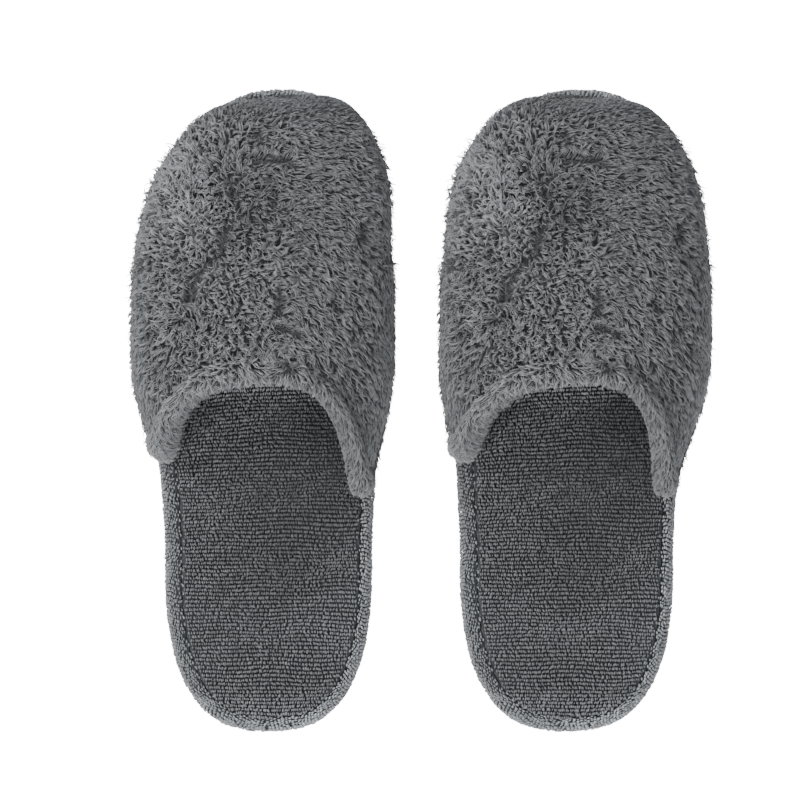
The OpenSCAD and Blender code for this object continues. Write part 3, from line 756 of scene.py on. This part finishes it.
def combing(x, y):  # the strokes averaged by a Gaussian of combWide, with each whorl's turning added
    gone = (x[:, None] - strokes[:, 0]) ** 2 + (y[:, None] - strokes[:, 1]) ** 2
    near = np.exp(-gone / (2 * pile["combWide"] ** 2)) + 1e-9
    way = near @ strokes[:, 2:] / near.sum(1)[:, None]
    for wx, wy, size, force in whorls:
        gone = np.stack([x - wx, y - wy], -1)
        pull = force * np.exp(-np.sum(gone ** 2, -1) / size ** 2) / size
        way = way + pull[:, None] * np.stack([-gone[:, 1], gone[:, 0]], -1)
    return unit(way)


def spread(count, seed, surface, lowA, highA):
    # Random places on a surface of the left slipper, kept in proportion to its area there
    luck = np.random.default_rng(seed)
    a, v = luck.uniform(lowA, highA, 5 * count), luck.uniform(0, 1, 5 * count)
    s = slippers["left"]
    area = np.linalg.norm(np.cross(surface(s, a + 0.5, v) - surface(s, a - 0.5, v),
                                   surface(s, a, v + 0.002) - surface(s, a, v - 0.002)), axis=-1)
    kept = np.nonzero(luck.uniform(0, np.percentile(area, 99.5), a.size) < area)[0][:count]
    return a[kept], v[kept]


def vampRoot(s, a, v):  # a strand's root on the vamp, at the root depth
    v = np.clip(v, 0, 1)
    t = rootDepth(s, a, alongVamp(a, v, 3, pile["startAt"]))
    return vampPoint(s, alongVamp(a, v, t, pile["startAt"]), a, t)


def rollRoot(s, a, v):  # a strand's root on the roll, from its outer front to low on its inside
    return rollPoint(s, a, np.radians(mix(-75, 160, v)))


def nearestTuft(flat):  # the tuft of each strand: the nearest of the first strands
    tufts = np.arange(int(len(flat) / pile["perTuft"]))
    tree = KDTree(tufts.size)
    for i in tufts:
        tree.insert(flat[i], i)
    tree.balance()
    return np.array([tree.find(p)[1] for p in flat])


def parting(x, y):
    # Round each crease: how near a strand is, by a Gaussian of half its width, and the way that the pile is
    # pushed apart, by one of 1.3 widths
    parted, apart = np.zeros(x.size), np.zeros((x.size, 2))
    for x0, y0, x1, y1, r in creases:
        share = ((x - x0) * (x1 - x0) + (y - y0) * (y1 - y0)) / ((x1 - x0) ** 2 + (y1 - y0) ** 2)
        share = np.clip(share, 0, 1)
        gone = np.stack([x - mix(x0, x1, share), y - mix(y0, y1, share)], -1)
        near = np.sum(gone ** 2, -1)
        parted = np.maximum(parted, np.exp(-near / (0.5 * r) ** 2))
        apart = apart + unit(gone) * np.exp(-near / (1.3 * r) ** 2)[:, None]
    return parted, apart


def pileTone(tone, x, y, swirled, parted, rim, foot, overRoll):
    # The tone times one factor for each place of pileShade, which fades in or out over some millimetres. The
    # creases, the left side and the toe's foot get painted shade; the rim, the toe's left and the right side
    # get painted light
    tone = tone * (1 + pileShade["whorl"] * swirled)
    tone = tone * (1 + pileShade["crease"] * parted)
    left = pileShade["rollLeft"] if overRoll else pileShade["rim"]
    tone = tone * (1 + mix(left, pileShade["rim"], ease((x + 30) / 50)) * rim)
    tone = tone * (1 + pileShade["leftLow"] * ease((-18 - x) / 16) * ease((80 - y) / 30) * (1 - rim))
    leftToe = pileShade["leftToe"] * ease((-10 - x) / 20) * ease((y - 62) / 30)
    tone = tone * (1 + leftToe + pileShade["right"] * ease((x - 36) / 12))
    tone = tone * (1 + pileShade["ball"] * np.exp(-(((x + 3) / 13) ** 2 + ((y - 84) / 22) ** 2)))
    return tone * (1 + pileShade["foot"] * foot)


def strandPoints(s, a, v, surface, overRoll, seed):
    # A strand goes in equal steps that lean ever further from the normal to the combing. Its tip is drawn to
    # its tuft, which turns and curls by itself. At the rim it lies towards the throat's edge, and on the wing
    # tips backwards.
    luck = np.random.default_rng(seed)
    n, steps = a.size, pile["steps"]
    root = surface(s, a, v)
    overA = surface(s, a + 0.5, v) - surface(s, a - 0.5, v)
    overV = surface(s, a, v + 0.003) - surface(s, a, v - 0.003)
    normal = unit(np.cross(overV, overA)) * (-1 if overRoll else 1)
    home = slippers["left"]
    flat = surface(home, a, v)
    x, y = flat[:, 0] - home["lean"], flat[:, 1]
    edge = y - throatEdge(a)
    slope = (throatEdge(a + 0.5) - throatEdge(a - 0.5))[:, None]
    inwards = unit(-unit(overV) + unit(overA) * slope / np.linalg.norm(overA, axis=-1, keepdims=True))
    if overRoll:
        inwards = unit(overV)
    way = combing(x, y)
    tangled = np.clip(0.65 - x / 45, 0.25, 1) * np.clip((y + 10) / 40, 0.3, 1)

    tuft = nearestTuft(flat)
    turn = luck.normal(0, 1, n)[tuft] * lie["tuftTurn"] * tangled + luck.normal(0, lie["eachTurn"], n)
    turn = turn + lie["waveTurn"] * tangled * wander(x, y, 16, 31)
    lean = lie["lean"] - lie["tangled"] * tangled + luck.normal(0, lie["tuftLean"], n)[tuft] * (0.4 + tangled)
    lean = np.radians(lean + luck.normal(0, lie["eachLean"], n))
    lean = lean - np.radians(lie["waved"]) * tangled * (0.5 + 0.5 * wander(x, y, 12, 32))
    curl = luck.normal(0, lie["curl"], n)[tuft] * (0.4 + tangled)
    size = luck.normal(1, 0.12, n) * luck.normal(1, 0.14, n)[tuft] * (0.78 + 0.22 * tangled)
    tone = luck.normal(1, 0.05, n) * luck.normal(1, 0.08, n)[tuft] * (1 + 0.08 * wander(x, y, 11, 33))

    parted, apart = parting(x, y)
    way = unit(way + lie["parted"] * apart)
    tuck = np.clip(np.maximum(-a, a - 180) / 90, 0, 1)
    steep = ease((0.9 - normal[:, 2]) / 0.6)
    swirled = sum(np.exp(-((x - q[0]) ** 2 + (y - q[1]) ** 2) / q[2] ** 2) for q in whorls)
    rim = np.exp(-np.maximum(edge, 0) / 7) * (1 if overRoll else 0.9)
    foot = ease((20.5 - root[:, 2]) / 3) * ease((y - 90) / 20)
    lean = mix(lean, np.radians(lie["steepLean"]), 0.85 * steep)
    size = size * mix(1, 0.55, np.maximum(ease((y - 118) / 14), ease(tuck * 1.2)))
    size = size * (1 + pileLength["crease"] * parted)
    size = size * (1 + pileLength["steep"] * steep) * (1 + pileLength["whorl"] * swirled)
    longer = mix(pileLength["rimLeft"], pileLength["rimRight"], ease((x + 12) / 26))
    size = size * (1 + (longer + pileLength["rimMiddle"] * np.exp(-(x / 11) ** 2)) * rim)
    size = size * (1 + pileLength["foot"] * foot)
    tone = pileTone(tone, x, y, swirled, parted, rim, foot, overRoll)

    plan = np.stack([way[:, 0], way[:, 1], 0 * x - 0.15], -1)
    flow = unit(plan - normal * np.sum(plan * normal, -1, keepdims=True))
    flow = unit(mix(flow, inwards, (np.clip(rim * 1.1, 0, 1) * mix(1, 0.5, ease((x - 4) / 24)))[:, None]))
    tip = ease((np.abs(a - 90) - 74) / 20) * rim
    back = np.array([0, -1, -0.1]) - normal * np.sum(normal * [0, -1, -0.1], -1, keepdims=True)
    flow = unit(mix(flow, unit(back), 0.8 * tip[:, None]))
    size = size * (1 + pileLength["tip"] * tip)
    across = np.cross(normal, flow)

    k = np.linspace(0, 1, steps)
    lengths = (pile["long"] * size)[:, None] / (steps - 1)
    path = [root]
    for q in (k[1:] + k[:-1]) / 2:
        heading = (turn + curl * (2 * q) ** 1.5)[:, None]
        fallen = (lean * (0.45 + 0.95 * q))[:, None]
        step = normal * np.cos(fallen) + (flow * np.cos(heading) + across * np.sin(heading)) * np.sin(fallen)
        path.append(path[-1] + step * lengths)
    path = np.stack(path, 1)
    drawn = np.clip(luck.normal(0.35 + 0.35 * tangled, 0.12, n)[tuft], 0.1, 0.9)[:, None] * k ** 1.1
    path = mix(path, path[tuft], drawn[..., None])
    wide = pile["thick"] * np.clip(size, 0.6, 1.2)[:, None] * np.array([1.0, 1.05, 0.8, 0])
    points, faces = tubes(path, wide, across)
    # along runs from root to tip; the material paints shade at the roots by it
    return points, faces, perPoint(k[None] ** 0.8 * np.ones((n, 1)), steps), perPoint(tone[:, None], steps)


print("pile")
vampA, vampV = spread(pile["count"], pile["seed"], vampRoot, -80, 260)
rollA, rollV = spread(pile["rollCount"], pile["seed"] + 1, rollRoot, -70, 250)
names = ["pile_throat", "pile_instep", "pile_ball", "pile_toe"]
for s in slippers.values():
    tufted = []
    points, faces, along, tone = strandPoints(s, vampA, vampV, vampRoot, False, 41)
    each = points.shape[1]
    perStrand = len(faces) // len(points)
    order = np.array_split(np.argsort(vampV, kind="stable"), len(names))
    pattern = faces[:perStrand]
    for name, part in zip(names, order):
        faces = (pattern[None] + each * np.arange(len(part))[:, None, None]).reshape(-1, 3)
        tufted.append(makePiece(s, name, points[part], faces, plushPile, "plush_pile", along=along[part],
                                tone=tone[part]))
    points, faces, along, tone = strandPoints(s, rollA, rollV, rollRoot, True, 42)
    tufted.append(makePiece(s, "pile_roll", points, faces, plushPile, "plush_pile", along=along, tone=tone))
    for piece in tufted:
        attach(piece, s["name"] + "_forefoot")

# The studio: places and sizes in metres, powers in watts
studio = {"camera": (-0.0088, 0.0045, 2.5), "lens": 261, "sky": 0.74, "table": 16.0}
lamps = {"keyLight": {"at": (-1.1, -1.0, 1.5), "size": 0.8, "power": 14},
         "sideLight": {"at": (-1.6, 0.8, 1.25), "size": 0.9, "power": 40},
         "fillLight": {"at": (0.1, -1.8, 1.3), "size": 1.0, "power": 18}}


def stageMesh():  # a flat table top, 6 m square, that the outsoles stand on
    mesh = bpy.data.meshes.new("table_top")
    mesh.from_pydata([(-3, -3, 0), (3, -3, 0), (3, 3, 0), (-3, 3, 0)], [], [(0, 1, 2, 3)])
    table = bpy.data.objects.new("table_top", mesh)
    bpy.context.collection.objects.link(table)
    table.visible_diffuse = table.visible_glossy = table.visible_shadow = False
    # White laminate that glows to the eye only, so it gives the slippers no light. Its underside is clear, so
    # that they can be seen from below too.
    finish = bpy.data.materials.new("whiteTable")
    finish.use_nodes = True
    tree = finish.node_tree
    shader = tree.nodes["Principled BSDF"]
    shader.inputs["Base Color"].default_value = linear("#f4f4f3")
    shader.inputs["Roughness"].default_value = 0.9
    direct = addNode(tree, "ShaderNodeLightPath", {}, {}).outputs["Is Camera Ray"]
    power = addNode(tree, "ShaderNodeMath", {"operation": "MULTIPLY"}, {0: direct, 1: studio["table"]})
    glow = addNode(tree, "ShaderNodeEmission", {}, {"Strength": power.outputs[0]})
    both = addNode(tree, "ShaderNodeAddShader", {}, {0: shader.outputs[0], 1: glow.outputs[0]})
    under = addNode(tree, "ShaderNodeNewGeometry", {}, {}).outputs["Backfacing"]
    clear = addNode(tree, "ShaderNodeBsdfTransparent", {}, {})
    shown = addNode(tree, "ShaderNodeMixShader", {}, {0: under, 1: both.outputs[0], 2: clear.outputs[0]})
    tree.links.new(shown.outputs[0], tree.nodes["Material Output"].inputs["Surface"])
    mesh.materials.append(finish)


def softBox(name, k):  # an area light that faces the middle of the table
    data = bpy.data.lights.new(name, "AREA")
    data.size, data.energy = k["size"], k["power"]
    lamp = bpy.data.objects.new(name, data)
    lamp.location = k["at"]
    lamp.rotation_euler = (-Vector(k["at"])).to_track_quat("-Z", "Y").to_euler()
    bpy.context.collection.objects.link(lamp)


print("studio")
stageMesh()
for name, k in lamps.items():
    softBox(name, k)
world = bpy.data.worlds.new("paleRoom")
world.use_nodes = True
world.node_tree.nodes["Background"].inputs["Color"].default_value = linear("#f3f4f6")
world.node_tree.nodes["Background"].inputs["Strength"].default_value = studio["sky"]
bpy.context.scene.world = world
lens = bpy.data.cameras.new("camera")
lens.lens, lens.sensor_width = studio["lens"], 36
camera = bpy.data.objects.new("camera", lens)
camera.location = studio["camera"]
bpy.context.collection.objects.link(camera)
bpy.context.scene.camera = camera
